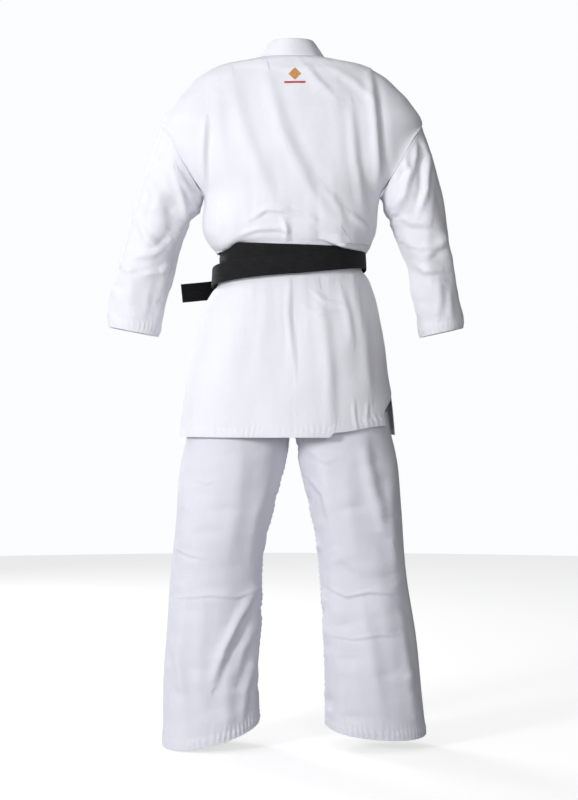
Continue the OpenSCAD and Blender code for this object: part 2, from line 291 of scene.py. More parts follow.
def curve(table, column, at):
    """Smooth value through the table's rows, never past a row's own value (a monotone cubic)."""
    rows = np.array(table, float)
    rows = rows[np.argsort(rows[:, 0])]
    x, y = rows[:, 0], rows[:, column]
    step = np.diff(x)
    slope = np.diff(y) / step
    tangent = np.zeros(len(x))
    same = slope[:-1] * slope[1:] > 0
    weight_a, weight_b = 2 * step[1:] + step[:-1], step[1:] + 2 * step[:-1]
    inner = (weight_a + weight_b) / (
        weight_a / np.where(same, slope[:-1], 1) + weight_b / np.where(same, slope[1:], 1))
    tangent[1:-1] = np.where(same, inner, 0)
    tangent[0], tangent[-1] = slope[0], slope[-1]
    at = np.clip(np.asarray(at, float), x[0], x[-1])
    i = np.clip(np.searchsorted(x, at) - 1, 0, len(step) - 1)
    h = step[i]
    t = (at - x[i]) / h
    return ((1 + 2 * t) * (1 - t) ** 2 * y[i] + t * (1 - t) ** 2 * h * tangent[i]
            + t * t * (3 - 2 * t) * y[i + 1] + t * t * (t - 1) * h * tangent[i + 1])


def smoothstep(low, high, x):
    t = np.clip((np.asarray(x, float) - low) / (high - low), 0, 1)
    return t * t * (3 - 2 * t)


def waves(u, v, seed, size, count=7):
    """Gentle random swell of height about 1 over two coordinates: size is its usual length."""
    rng = np.random.default_rng(seed)
    total = np.zeros(np.broadcast(u, v).shape)
    for _ in range(count):
        angle, phase = rng.uniform(0, 2 * math.pi, 2)
        length = size * rng.uniform(0.6, 1.7)
        along = (u * math.cos(angle) + v * math.sin(angle)) * 2 * math.pi / length
        total = total + np.sin(along + phase)
    return total / math.sqrt(count)


def fold(u, v, path, width, height, lean=0.0):
    """Fold along a given path, in millimetres. lean moves it from a plain ridge towards a
    ridge with a valley on the path's right, which is what a crease throws its shadow in."""
    pts = np.array(path, float)
    lengths = np.linalg.norm(np.diff(pts, axis=0), axis=1)
    starts = np.concatenate([[0], np.cumsum(lengths)])
    best = np.full(u.shape, 1e9)
    side = np.zeros(u.shape)
    where = np.zeros(u.shape)
    for a, b, length, start in zip(pts[:-1], pts[1:], lengths, starts):
        d = (b - a) / length
        du, dv = u - a[0], v - a[1]
        t = np.clip(du * d[0] + dv * d[1], 0, length)
        away = np.hypot(du - t * d[0], dv - t * d[1])
        signed = du * d[1] - dv * d[0]
        nearer = away < best
        best = np.where(nearer, away, best)
        side = np.where(nearer, np.sign(signed) * away, side)
        where = np.where(nearer, (start + t) / starts[-1], where)
    taper = np.sqrt(np.clip(np.sin(math.pi * np.clip(where, 0.02, 0.98)), 0, 1))
    s = side / width
    bell = np.exp(-s * s)
    return height * taper * bell * (1 - abs(lean) - 1.9 * lean * s)


def sharpen(x, power=1.6):
    """Makes a swell's crests narrower, the way stiff cotton folds."""
    return np.sign(x) * np.abs(x) ** power


# ---------------------------------------------------------------- cloth grids to meshes


def to_frame(points):
    """Millimetres above the hem to metres in the CAD frame."""
    return (np.asarray(points, float) - (0, 0, NECK_Z)) / 1000


def grid_normals(grid, ring=False, outward=1):
    """Unit normals of a grid of points, rows by columns."""
    if ring:
        across = np.roll(grid, -1, 1) - np.roll(grid, 1, 1)
    else:
        across = np.gradient(grid, axis=1)
    along = np.gradient(grid, axis=0)
    normal = np.cross(along, across) * outward
    return normal / np.maximum(np.linalg.norm(normal, axis=2, keepdims=True), 1e-9)


def arc_uv(grid, ring=False):
    """Distance along the columns and rows of a grid, in metres, for the weave."""
    closed = np.concatenate([grid, grid[:, :1]], 1) if ring else grid
    du = np.linalg.norm(np.diff(closed, axis=1), axis=2).mean(0)
    dv = np.linalg.norm(np.diff(grid, axis=0), axis=2).mean(1)
    u = np.concatenate([[0], np.cumsum(du)]) / 1000
    v = np.concatenate([[0], np.cumsum(dv)]) / 1000
    return u, v


def new_piece(name, points, faces, material):
    """Smooth-shaded object over points in the CAD frame."""
    mesh = bpy.data.meshes.new(name)
    mesh.from_pydata(points.tolist(), [], faces)
    mesh.polygons.foreach_set("use_smooth", np.ones(len(faces), bool))
    mesh.materials.append(material)
    piece = bpy.data.objects.new(name, mesh)
    bpy.context.scene.collection.objects.link(piece)
    return piece


def side_name(side):
    """Wearer's side: 1 is left, which is +X, and -1 is right."""
    return "left" if side > 0 else "right"


def cloth(name, grid, material, thick=1.0, ring=False, outward=1, rows=None, normals=None):
    """Mesh of a closed cloth shell under a grid of outer points in millimetres. rows picks part
    of the grid, and the normals still come from the whole of it, so split pieces meet unseen."""
    if normals is None:
        normals = grid_normals(grid, ring, outward)
    u, v = arc_uv(grid, ring)
    first, last = rows or (0, len(grid) - 1)
    outer = grid[first:last + 1]
    facing = normals[first:last + 1]
    v = v[first:last + 1]
    count_r, count_c = outer.shape[:2]
    inner = outer - thick * facing
    points = to_frame(np.concatenate([outer.reshape(-1, 3), inner.reshape(-1, 3)]))
    columns = np.arange(count_c if ring else count_c - 1)
    i, j = (x.ravel() for x in np.meshgrid(np.arange(count_r - 1), columns, indexing="ij"))
    half = count_r * count_c
    quads, uv = [], []
    for start, corners in ((0, ((0, 0), (1, 0), (1, 1), (0, 1))),
                           (half, ((0, 0), (0, 1), (1, 1), (1, 0)))):
        quads.append(np.stack([(i + row) * count_c + (j + column) % count_c + start
                               for row, column in corners], 1))
        uv.append(np.stack([np.stack([u[j + column], v[i + row]], 1)
                            for row, column in corners], 1))
    following = (columns + 1) % count_c
    bottom = (count_r - 1) * count_c
    edges = [(columns, following), (following + bottom, columns + bottom)]
    if not ring:
        side_a = np.arange(count_r - 1) * count_c
        side_b = side_a + count_c
        far = count_c - 1
        edges += [(side_b, side_a), (side_a + far, side_b + far)]
    rims = [np.stack([e, f, f + half, e + half], 1) for e, f in edges]
    faces = np.concatenate([*quads, *rims])
    if outward < 0:
        faces = faces[:, ::-1]
        uv = [skin[:, ::-1] for skin in uv]
    piece = new_piece(name, points, faces.tolist(), material)
    layer = piece.data.uv_layers.new(name="cloth")
    loop_uv = np.zeros((len(faces) * 4, 2), np.float32)
    skin_loops = len(quads[0]) * 2 * 4
    loop_uv[:skin_loops] = np.concatenate(uv).reshape(-1, 2)
    layer.data.foreach_set("uv", loop_uv.ravel())
    both = np.concatenate([facing.reshape(-1, 3), -facing.reshape(-1, 3)])
    loop_normals = both[faces.ravel()]
    p = points[faces]
    flat_normals = np.cross(p[:, 2] - p[:, 0], p[:, 3] - p[:, 1])
    flat_normals /= np.maximum(np.linalg.norm(flat_normals, axis=1, keepdims=True), 1e-12)
    loop_normals[skin_loops:] = np.repeat(flat_normals[len(quads[0]) * 2:], 4, axis=0)
    piece.data.normals_split_custom_set(loop_normals.tolist())
    return piece


def stitches(name, paths, length=2.6, gap=1.2, radius=0.28, lift=0.1):
    """Rows of thread: each path is (points, normals) in millimetres, sewn with short lens-shaped
    stitches that stand a little proud of the cloth."""
    points, faces = [], []
    ring = ((0.0, 1), (0.85, 0.35), (0.85, -0.6), (-0.85, -0.6), (-0.85, 0.35))
    for line, normal in paths:
        along = np.concatenate([[0], np.cumsum(np.linalg.norm(np.diff(line, axis=0), axis=1))])
        starts = np.arange(0, along[-1] - length, length + gap)
        for start in starts:
            at = start + np.array([0, 0.25, 0.75, 1]) * length
            p = np.stack([np.interp(at, along, line[:, k]) for k in range(3)], 1)
            n = np.stack([np.interp(start + length / 2, along, normal[:, k]) for k in range(3)])
            n = n / np.linalg.norm(n)
            d = p[3] - p[0]
            side = np.cross(d, n)
            side = side / max(np.linalg.norm(side), 1e-9)
            base = len(points)
            points.append(p[0] - n * radius)
            for q in (p[1], p[2]):
                centre = q + n * lift
                points.extend(centre + radius * (x * side + y * n) for x, y in ring)
            points.append(p[3] - n * radius)
            for k in range(5):
                m = (k + 1) % 5
                faces.append((base, base + 1 + m, base + 1 + k))
                faces.append((base + 1 + k, base + 1 + m, base + 6 + m, base + 6 + k))
                faces.append((base + 6 + k, base + 6 + m, base + 11))
    return new_piece(name, to_frame(points), faces, WHITE_THREAD)


def declare(grid, ring=False):
    """Measures a cloth piece's cut along its grid, widest by longest, and its area; the result is
    neither kept nor returned.
    """
    closed = np.concatenate([grid, grid[:, :1]], 1) if ring else grid
    widths = np.linalg.norm(np.diff(closed, axis=1), axis=2).sum(1)
    lengths = np.linalg.norm(np.diff(closed, axis=0), axis=2).sum(0)
    a = closed[:-1, 1:] - closed[:-1, :-1]
    b = closed[1:, :-1] - closed[:-1, :-1]
    area = np.linalg.norm(np.cross(a, b), axis=2).sum() / 1e6
    flat = (widths.max() / 1000, lengths.max() / 1000)
    area = min(max(area, 0.301 * flat[0] * flat[1]), flat[0] * flat[1])


def sew_to_body(piece, grid, nodes, ring=False):
    """Cloth piece that stays with the jacket's body, in the place of those CAD nodes."""
    declare(grid, ring=ring)
    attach(piece, "uniform")
    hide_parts(*nodes)


# ---------------------------------------------------------------- outlines, millimetres

BELT_W = 40
BELT_THICK = 4
BELT_ROWS = 8
ROUND = 2 / 2.4          # how boxy the jacket's level section is
SEAM_GAP = 0.5           # half the space between front and back panels at the side
ARMPIT_Z = 1150
SHOULDER_Z = 1300
ARMHOLE_HALF_DEPTH = 70
BELT_BOTTOM_Z = 962
BELT_TOP_Z = 1048
OUTER_TURN_Z = 998       # middle of the belt's outer turn
OUTER_TURN_TILT = -17    # how much higher it is at the wearer's left than in the middle
OUTER_TURN_RISE = 5      # how much higher it is at the back
JACKET_HEM_Z = 652
HEM_DEPTH = 18
HEM_SEAM_ROW = 10        # row of a jacket grid on which the hem is sewn

# height, half width, half depth, shift to the wearer's left
JACKET_OUTLINE = [
    (640, 226, 131, 8), (652, 225, 131, 8), (716, 219, 128, 8), (766, 211, 126, 8),
    (817, 202, 123, 7), (867, 190, 119, 7), (918, 177, 114, 7), (950, 162, 110, 5),
    (962, 152, 107, 5), (1048, 139, 107, 1), (1056, 157, 110, 3), (1066, 168, 112, 5),
    (1100, 178, 116, 4), (1150, 185, 117, 0), (1188, 207, 117, 0),
    (1225, 228.5, 115, 0), (1262, 250, 111, 0), (1300, 272, 105, 0), (1346, 246, 92, 0),
    (1371, 223, 84, 0), (1396, 200, 75, 0), (1410, 180, 70, 0), (1425, 150, 64, 0),
    (1436, 92, 58, 0), (1440, 72, 49, 0)]

SEAT_OUTLINE = [
    (651, 208, 108, 6), (720, 197, 108, 6), (800, 178, 106, 6), (850, 164, 102, 5),
    (900, 148, 97, 5), (960, 133, 91, 4), (1026, 130, 88, 4)]

# outer x and height, inner x and height, half depth, middle y
SLEEVE_LEFT = [
    (272, 1300, 185, 1150, 70, 0), (300, 1220, 196, 1118, 72, 0), (325, 1145, 213, 1098, 70, 0),
    (351, 1052, 236, 1044, 64, -4), (366, 1000, 250, 992, 60, -8), (384, 930, 266, 922, 56, -14),
    (388, 900, 274, 884, 55, -17), (385, 878, 283, 858, 54, -19)]
SLEEVE_RIGHT = [
    (-272, 1300, -185, 1150, 70, 0), (-296, 1220, -194, 1120, 72, 0),
    (-318, 1145, -206, 1102, 70, 0), (-332, 1056, -226, 1048, 64, -4),
    (-344, 1000, -246, 992, 60, -8), (-356, 930, -256, 922, 56, -14),
    (-362, 900, -263, 884, 55, -17), (-360, 876, -270, 856, 54, -19)]
LEG_LEFT = [
    (212, 700, 1, 700, 104, 2), (219, 648, 7, 648, 102, 0), (231, 575, 20, 575, 97, 1),
    (241, 500, 38, 500, 90, 3), (249, 430, 54, 430, 85, 4), (253, 370, 62, 370, 82, 4),
    (263, 230, 66, 240, 80, 6), (270, 110, 68, 130, 78, 8), (271, 6, 67, 56, 77, 8)]
LEG_RIGHT = [
    (-200, 700, -1, 700, 104, 2), (-208, 648, -7, 648, 102, 0), (-221, 575, -19, 575, 97, 1),
    (-228, 500, -36, 500, 90, 3), (-234, 430, -50, 430, 85, 4), (-240, 370, -57, 370, 82, 4),
    (-258, 230, -65, 240, 80, 6), (-272, 110, -68, 120, 78, 8), (-280, 28, -71, 46, 77, 8)]


def armhole(z):
    """Half depth of the sleeve's opening in the jacket's side at height z."""
    t = (2 * z - ARMPIT_Z - SHOULDER_Z) / (SHOULDER_Z - ARMPIT_Z)
    return ARMHOLE_HALF_DEPTH * np.sqrt(np.clip(1 - t * t, 0, 1))


def body_section(outline, z, angle, face, lay=0.0, opening=0.0):
    """Point of a rounded level section. Angle 0 is the wearer's left side, 180 the right."""
    width, depth, shift = (curve(outline, k, z) for k in (1, 2, 3))
    c, s = np.cos(angle), np.abs(np.sin(angle))
    x = shift + np.sign(c) * (width + lay) * np.abs(c) ** ROUND
    bulge = (depth + lay) * s ** ROUND
    y = face * (SEAM_GAP + (opening ** 5 + bulge ** 5) ** 0.2)
    return np.stack([x, y, z + lay * np.clip((z - SHOULDER_Z) / 138, 0, None)], -1)


def belt_lower_edge(angle, face):
    """Height of the lower edge of the belt's outer turn, which climbs to the wearer's right."""
    middle = OUTER_TURN_Z + OUTER_TURN_TILT * np.cos(angle)
    return middle - BELT_W / 2 + OUTER_TURN_RISE * face * np.abs(np.sin(angle))


def jacket_section(z, angle, face, lay=0.0):
    """The jacket's outline, drawn up so that it flares out right below the belt's edge."""
    near = smoothstep(740, 905, z) * (1 - smoothstep(1000, 1046, z))
    drawn = z - (belt_lower_edge(angle, face) - BELT_BOTTOM_Z) * near
    points = body_section(JACKET_OUTLINE, drawn, angle, face, lay, armhole(z))
    points[..., 2] += z - drawn
    return points


def jacket_heights(step, top, rows):
    """Heights of a jacket grid's rows: close together at the hem and over the shoulders."""
    hem = np.arange(JACKET_HEM_Z, 690, 1.5)
    return np.concatenate([hem, np.arange(690, 1400, step), np.linspace(1400, top, rows)])[:, None]


def ring_distances(table):
    """Distance down the middle of a limb at which each row of its outline lies."""
    rows = np.array(table, float)
    middle = np.stack([(rows[:, 0] + rows[:, 2]) / 2, (rows[:, 1] + rows[:, 3]) / 2], 1)
    return np.concatenate([[0], np.cumsum(np.linalg.norm(np.diff(middle, axis=0), axis=1))])


def tube(table, step, columns, boxy=2.2):
    """Grid of level-ish rings along a limb, with its distance down the limb for each row."""
    away = ring_distances(table)
    keyed = np.concatenate([away[:, None], np.array(table, float)], 1)
    s = np.linspace(0, away[-1], int(away[-1] / step) + 1)
    ox, oz, ix, iz, depth, y = (curve(keyed, k, s)[:, None] for k in range(1, 7))
    angle = np.linspace(0, 2 * math.pi, columns, endpoint=False)[None]
    power = 2 / (2 + (boxy - 2) * smoothstep(0, 60, s))[:, None]
    c = np.sign(np.cos(angle)) * np.abs(np.cos(angle)) ** power
    q = np.sign(np.sin(angle)) * np.abs(np.sin(angle)) ** power
    grid = np.stack([(ox + ix) / 2 + (ox - ix) / 2 * c, y + depth * q,
                     (oz + iz) / 2 + (oz - iz) / 2 * c], -1)
    return grid, s, angle


def hem_relief(distance, along, seed, pucker=0.9, period=9.5):
    """Raised hem band with its stitched groove and the puckers the stitching draws in."""
    band = 0.9 * (1 - smoothstep(HEM_DEPTH - 1.5, HEM_DEPTH + 0.8, distance))
    groove = -0.7 * np.exp(-((distance - HEM_DEPTH + 2.2) / 1.2) ** 2)
    jitter = 1.5 * waves(along, distance, seed, 60)
    ripple = np.sin(2 * math.pi * along / period + jitter)
    reach = np.exp(-((distance - 14) / 13) ** 2)
    strength = 0.65 + 0.35 * waves(along, distance * 0, seed + 1, 90)
    return band + groove + pucker * ripple * reach * strength


def seam_relief(distance, depth=1.1, width=1.6, ridge=0.5):
    """Groove of a seam with the felled edge standing up beside it."""
    groove = -depth * np.exp(-(distance / width) ** 2)
    return groove + ridge * np.exp(-((distance - 4.5) / 3) ** 2)


# ---------------------------------------------------------------- jacket, back

BACK_FOLDS = [
    # path of (x, height), half width, height, lean
    ([(44, 1400), (12, 1275), (-36, 1175), (-96, 1085)], 19, 6.5, 0.5),
    ([(118, 1392), (92, 1285), (52, 1180), (10, 1100)], 20, 4.5, 0.5),
    ([(150, 1380), (140, 1250), (128, 1130)], 16, 2.5, 0.35),
    ([(-125, 1330), (-136, 1210), (-160, 1100)], 13, 6, 0.55),
    ([(-96, 1370), (-104, 1250), (-118, 1170)], 18, 3, 0.35),
    ([(-88, 1378), (-52, 1362), (-20, 1394)], 12, 2.5, 0.3),
    ([(-24, 1424), (-60, 1380), (-88, 1350)], 10, 3.5, 0.5),
    ([(-76, 1408), (-128, 1376), (-170, 1330)], 11, 4, -0.45),
    ([(60, 1412), (0, 1404), (-60, 1410)], 9, 2.5, -0.4),
    ([(-166, 1402), (-176, 1300), (-182, 1200), (-184, 1125)], 12, 10, 0.6),
    ([(174, 1300), (178, 1230), (176, 1160)], 8, 7, 0.55),
    ([(82, 1092), (52, 1110), (14, 1108), (-22, 1096)], 7, 5.5, -0.55),
    ([(112, 1058), (70, 1071), (26, 1072), (-2, 1062)], 6, 5, -0.5),
    ([(14, 1092), (7, 1074), (8, 1052)], 6, 6, 0.55),
    ([(-20, 1100), (-58, 1078), (-92, 1066)], 9, 4, -0.45),
    ([(150, 1120), (140, 1085), (146, 1058)], 9, 4, 0.4),
    ([(-120, 1110), (-150, 1085), (-160, 1060)], 9, 5, 0.5),
    ([(-60, 1170), (-100, 1120), (-112, 1070)], 11, 4, 0.45),
    ([(2, 958), (4, 905), (-2, 850), (-8, 780)], 8, 4.5, 0.55),
    ([(-40, 945), (-68, 922), (-104, 918)], 7, 2.6, -0.4),
    ([(-14, 918), (-50, 898), (-96, 900)], 7, 2.2, -0.4),
    ([(-104, 950), (-118, 900), (-126, 840)], 10, 4, 0.5),
    ([(-60, 950), (-72, 880), (-82, 780), (-84, 655)], 15, 5, 0.5),
    ([(-138, 940), (-156, 850), (-166, 730)], 14, 4.5, 0.5),
    ([(96, 948), (112, 860), (120, 740)], 22, 3, 0.3),
    ([(44, 952), (56, 880), (60, 790)], 15, 2.2, 0.3),
    ([(-128, 724), (-131, 690), (-136, 662)], 5, 2.2, 0.5),
    ([(-158, 720), (-156, 690), (-160, 668)], 5, 2.2, 0.5),
]


def back_hem_rise(x):
    """How far the back hem hangs above its lowest line: it climbs towards the right vent."""
    return -4 + 10 * smoothstep(-74, -88, x) + 13 * smoothstep(-88, -190, x)


def blouse(x, z, face):
    """Jacket pulled up over the belt, so that it hangs over the belt's upper edge."""
    right, left = smoothstep(-52, -100, x), smoothstep(96, 140, x)
    reach = np.maximum(right, 0.95 * left) if face > 0 else smoothstep(30, 90, np.abs(x))
    edge = BELT_TOP_Z + 3 - 15 * smoothstep(-60, -112, x) - 11 * smoothstep(100, 150, x)
    hang = 17 * (1 - smoothstep(1044, 1066, z)) + 9 * (1 - smoothstep(1066, 1140, z))
    return reach * smoothstep(edge - 2, edge + 6, z) * hang


def jacket_swell(x, z, angle, seed):
    """Gentle unevenness of the loose cloth, and how free the cloth is to fold: neither shows
    under the belt or at the side seams."""
    big = 2.2 * waves(x, z * 0.4, seed, 150) + 0.6 * waves(x, z * 0.5, seed + 1, 56)
    gathered = 1.6 * sharpen(waves(x, z * 0.12, seed + 2, 30))
    near_belt = np.exp(-np.abs(z - 1005) / 85)
    lower = OUTER_TURN_Z - BELT_W / 2 + OUTER_TURN_TILT * x / 150 + 4
    belt = smoothstep(lower - 16, lower, z)
    belt = belt * (1 - smoothstep(BELT_TOP_Z - 10, BELT_TOP_Z + 12, z))
    side = smoothstep(0, 0.16, angle) * smoothstep(0, 0.16, math.pi - angle)
    neck = 1 - smoothstep(1405, 1430, z)
    return (big + gathered * near_belt) * (1 - belt) * side * neck, (1 - belt) * side


def back_grid():
    """Finished outer face of the back, from the left side seam to the right one. It is cut away
    at the vents, which open at the sides above the hem."""
    z = jacket_heights(2.6, 1440, 26)
    share = np.linspace(0, 1, 251)[None]
    vent_left = math.radians(5) * (1 - smoothstep(690, 745, z))
    vent_right = math.radians(29) * (1 - smoothstep(676, 748, z))
    angle = vent_left + (math.pi - vent_left - vent_right) * share
    z = z + 0 * angle
    grid = jacket_section(z, angle, 1)
    x = grid[..., 0]
    hanging = 1 - smoothstep(JACKET_HEM_Z, 800, z)
    grid[..., 2] += back_hem_rise(x) * hanging
    level = grid[..., 2]
    normal = grid_normals(grid, outward=-1)
    swell, free = jacket_swell(x, level, angle, 11)
    relief = swell + blouse(x, level, 1)
    for path, width, height, lean in BACK_FOLDS:
        relief = relief + free * fold(x, level, path, width, height, lean)
    relief = relief + hem_relief(z - JACKET_HEM_Z, x, 21, 0.5, 11) * smoothstep(0, 0.1, share)
    relief = relief + seam_relief(np.abs(x + 2), 0.7, 1.4, 0.25) * smoothstep(1130, 1040, level)
    armhole_distance = np.minimum(angle, math.pi - angle) * 60
    at_armhole = smoothstep(1135, 1150, level) * smoothstep(1325, 1300, level)
    relief = relief + at_armhole * seam_relief(armhole_distance, 0.9)
    return grid + normal * relief[..., None]


BACK = back_grid()
BACK_NORMALS = grid_normals(BACK, outward=-1)


def make_back():
    piece = cloth("jacket_back", BACK, JACKET, 1.1, outward=-1)
    middle = BACK.shape[1] // 2
    hem = (BACK[HEM_SEAM_ROW, 3:-3], BACK_NORMALS[HEM_SEAM_ROW, 3:-3])
    seam = (BACK[20:170, middle], BACK_NORMALS[20:170, middle])
    thread = stitches("jacket_back_thread", [hem, seam])
    declare(BACK)
    for item in (piece, thread):
        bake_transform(item)
    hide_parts("back_panel_left", "back_panel_right", "back_skirt", "back_skirt_hem",
                "vent_patch_left", "vent_patch_right")


def on_back(x, z, lift):
    """Points standing lift proud of the finished back at x and height z."""
    flat = BACK[:, :, 0:3:2].reshape(-1, 2)
    points = []
    for px, pz in zip(np.ravel(x), np.ravel(z)):
        near = np.argsort(np.hypot(flat[:, 0] - px, flat[:, 1] - pz))[:4]
        weight = 1 / (0.3 + np.hypot(flat[near, 0] - px, flat[near, 1] - pz))
        y = (BACK.reshape(-1, 3)[near, 1] * weight).sum() / weight.sum()
        points.append((px, y, pz))
    points = np.array(points).reshape(*np.shape(x), 3)
    points[..., 1] += lift
    return points


def make_patch(node, x, z, height, material):
    """Embroidered patch lying on the upper back: a grid of x and z, domed by height."""
    edge = np.ones(x.shape)
    edge[0], edge[-1], edge[:, 0], edge[:, -1] = 0, 0, 0, 0
    grid = on_back(x, z, 0.2 + height * edge)
    piece = cloth(f"{node}_thread", grid, material, 0.7)
    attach(piece, "uniform")
    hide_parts(node)


def make_emblem():
    """Plain diamond over a plain bar, in the place of the badge."""
    middle, half = -6, 13.5
    u, v = np.meshgrid(np.linspace(-1, 1, 17), np.linspace(-1, 1, 17))
    x = middle + half * (u + v) / 2
    z = 1397 + half * (v - u) / 2
    make_patch("emblem_diamond", x, z, 0.9, ORANGE)
    u, v = np.meshgrid(np.linspace(-1, 1, 33), np.linspace(-1, 1, 7))
    make_patch("emblem_bar", middle + 22 * u, 1378.5 + 2.2 * v, 0.8, RED)


# ---------------------------------------------------------------- jacket, front and lapels

LAPEL_W = 44
LAPEL_Z = np.concatenate([np.arange(654, 1392, 3.0), [1394.0, 1397.0]])
WRAP_SINK = 10.2         # how far the right panel lies behind the left one
CROSSING_Z = 1225        # height at which the wrap's edges cross on the middle line

FRONT_FOLDS = [
    # wearer's left panel: path of (x, height), half width, height, lean
    ([(190, 1330), (120, 1220), (60, 1110), (30, 1060)], 20, 5.5, -0.45),
    ([(226, 1280), (165, 1180), (120, 1080)], 15, 5, -0.45),
    ([(110, 1340), (70, 1260), (10, 1190)], 16, 3.5, -0.35),
    ([(168, 1150), (150, 1100), (140, 1060)], 10, 4.5, 0.4),
    ([(60, 1120), (78, 1086), (76, 1056)], 8, 4, 0.4),
    ([(-20, 1130), (-34, 1090), (-40, 1058)], 9, 3.5, 0.4),
    ([(104, 952), (128, 860), (140, 740)], 16, 4, 0.45),
    ([(40, 954), (52, 870), (50, 760)], 13, 3.5, 0.4),
    ([(-48, 952), (-62, 850), (-70, 720)], 15, 3.5, -0.35),
    ([(-110, 945), (-124, 860), (-130, 770)], 12, 3, 0.35),
]


def wrap_edge(z):
    """Free edge of the front panel that lies on top, in x."""
    return np.maximum((z - CROSSING_Z) / 3, -155.0)


def front_angle(side, x, z):
    """Section angle at which the front face reaches x."""
    width, shift = curve(JACKET_OUTLINE, 1, z), curve(JACKET_OUTLINE, 3, z)
    share = np.clip(side * (x - shift) / width, -0.999, 0.999)
    return np.arccos(np.sign(share) * np.abs(share) ** (1 / ROUND))


def front_surface(side, z, angle):
    """Front panel's point: the wearer's left panel lies over the right one."""
    around = angle if side > 0 else math.pi - angle
    grid = jacket_section(z, around, -1)
    if side < 0:
        grid[..., 1] += WRAP_SINK * smoothstep(0.5, 1.0, angle)
    return grid


def front_relief(grid, z, angle, side):
    """Height of the front's folds, which are half as high on the panel that lies underneath."""
    x = grid[..., 0]
    seed = 31 if side > 0 else 41
    around = np.clip(angle, 0, math.pi / 2)
    swell, free = jacket_swell(x, z, around, seed)
    relief = swell + blouse(x, z, -1)
    for path, width, height, lean in FRONT_FOLDS:
        turned = [(side * px, pz) for px, pz in path]
        relief = relief + free * fold(x, z, turned, width, height, side * lean)
    return relief * (0.5 if side < 0 else 1)


def make_front(side):
    name = side_name(side)
    z = jacket_heights(2.8, 1439, 22)
    end = front_angle(side, side * wrap_edge(z), z)
    share = np.linspace(0, 1, 171)[None]
    angle = end * share
    z = z + 0 * angle
    grid = front_surface(side, z, angle)
    hanging = 1 - smoothstep(JACKET_HEM_Z, 760, z)
    grid[..., 2] += 3 * waves(grid[..., 0], z * 0, 51, 400) * hanging
    normal = grid_normals(grid, outward=side)
    relief = front_relief(grid, grid[..., 2], angle, side)
    hem = hem_relief(z - JACKET_HEM_Z, grid[..., 0], 61, 0.5, 11)
    relief = relief + hem * smoothstep(0, 0.1, share)
    grid = grid + normal * relief[..., None]
    grid = grid if side > 0 else grid[:, ::-1]
    piece = cloth(f"jacket_front_{name}", grid, JACKET, 1.1)
    sewn = (grid[HEM_SEAM_ROW, 3:-3], grid_normals(grid)[HEM_SEAM_ROW, 3:-3])
    thread = stitches(f"jacket_front_{name}_thread", [sewn])
    declare(grid)
    for item in (piece, thread):
        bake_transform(item)
    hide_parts(f"front_panel_{name}", f"front_skirt_{name}", f"front_skirt_hem_{name}")


def smooth_rows(points, passes):
    """Evens out a path's corners without moving its ends."""
    for _ in range(passes):
        points[1:-1] = (points[:-2] + 2 * points[1:-1] + points[2:]) / 4
    return points


def band_relief(across, dome):
    """Slightly domed band with its rows of stitching, at a distance across it."""
    row = np.abs(across % 11 - 5.5)
    return dome * (1 - (2 * across / LAPEL_W - 1) ** 8) - 0.35 * np.exp(-(row / 0.9) ** 2)


def lapel_edge(side, offset, lay):
    """Line on the finished front at that distance from the panel's edge, lay millimetres out."""
    x = side * (wrap_edge(LAPEL_Z) + offset)
    angle = front_angle(side, x, LAPEL_Z)
    points = front_surface(side, LAPEL_Z, angle)
    relief = front_relief(points, LAPEL_Z, angle, side)
    points[:, 1] -= lay + np.clip(relief, -1.5, 6)
    return points


def make_lapel(side, lay):
    """Band down one front edge. Its grid is returned for the collar to go on from."""
    name = side_name(side)
    t = np.linspace(0, 1, 19)[None, :, None]
    free, sewn = lapel_edge(side, -2.0, lay), lapel_edge(side, LAPEL_W, lay)
    grid = free[:, None] * (1 - t) + sewn[:, None] * t
    normal = grid_normals(grid, outward=-side)
    grid = grid + normal * band_relief(t * LAPEL_W, 0.9)
    piece = cloth(f"lapel_{name}_cloth", grid, LAPEL, 3.2, outward=-side)
    declare(grid)
    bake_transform(piece)
    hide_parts(f"lapel_{name}")
    return grid


def collar_section(angle, t):
    """Stand-up collar: t is 0 at the seam and 1 at the top edge."""
    x = (77 - 30 * t) * np.cos(angle)
    y = (52 - 9 * t) * np.sin(angle)
    dip = np.minimum(0, np.sin(angle))
    return np.stack([x, y, 1433 + 44 * t + (26 + 30 * (1 - t)) * dip], -1)


def make_collar(left_top, right_top):
    """Collar from the left lapel's top round the back of the neck to the right lapel's top.
    Each row is a section across the band, from its free edge to its seam edge."""
    angle = np.radians(np.linspace(-30, 210, 121))[:, None]
    t = np.linspace(1, 0, left_top.shape[1])[None]
    around = collar_section(angle + 0 * t, t + 0 * angle)
    rows = np.concatenate([left_top[-3:], around, right_top[-3:][::-1]])
    parts = []
    for first, second in zip(rows[:-1], rows[1:]):
        count = max(1, int(np.linalg.norm(second - first, axis=1).mean() / 2.6))
        share = np.arange(count)[:, None, None] / count
        parts.append(first[None] * (1 - share) + second[None] * share)
    grid = smooth_rows(np.concatenate(parts + [rows[-1:]]), 60)
    normal = grid_normals(grid, outward=-1)
    relief = band_relief(np.linspace(0, LAPEL_W, grid.shape[1])[None], 0.8)
    relief = relief + 0.6 * waves(grid[..., 0], grid[..., 1], 71, 60)
    grid = grid + normal * relief[..., None]
    piece = cloth("collar_band_cloth", grid, LAPEL, 3.2, outward=-1)
    sew_to_body(piece, grid, ["collar_band"])


def make_lining():
    """Second layer of cloth inside the shoulders and the top of the back."""
    z = np.linspace(1330, 1424, 24)[:, None]
    angle = np.radians(np.linspace(12, 168, 61))[None] + 0 * z
    grid = jacket_section(z + 0 * angle, angle, 1, -6)
    piece = cloth("shoulder_lining_cloth", grid, JACKET, 1.0, outward=-1)
    sew_to_body(piece, grid, ["shoulder_lining"])


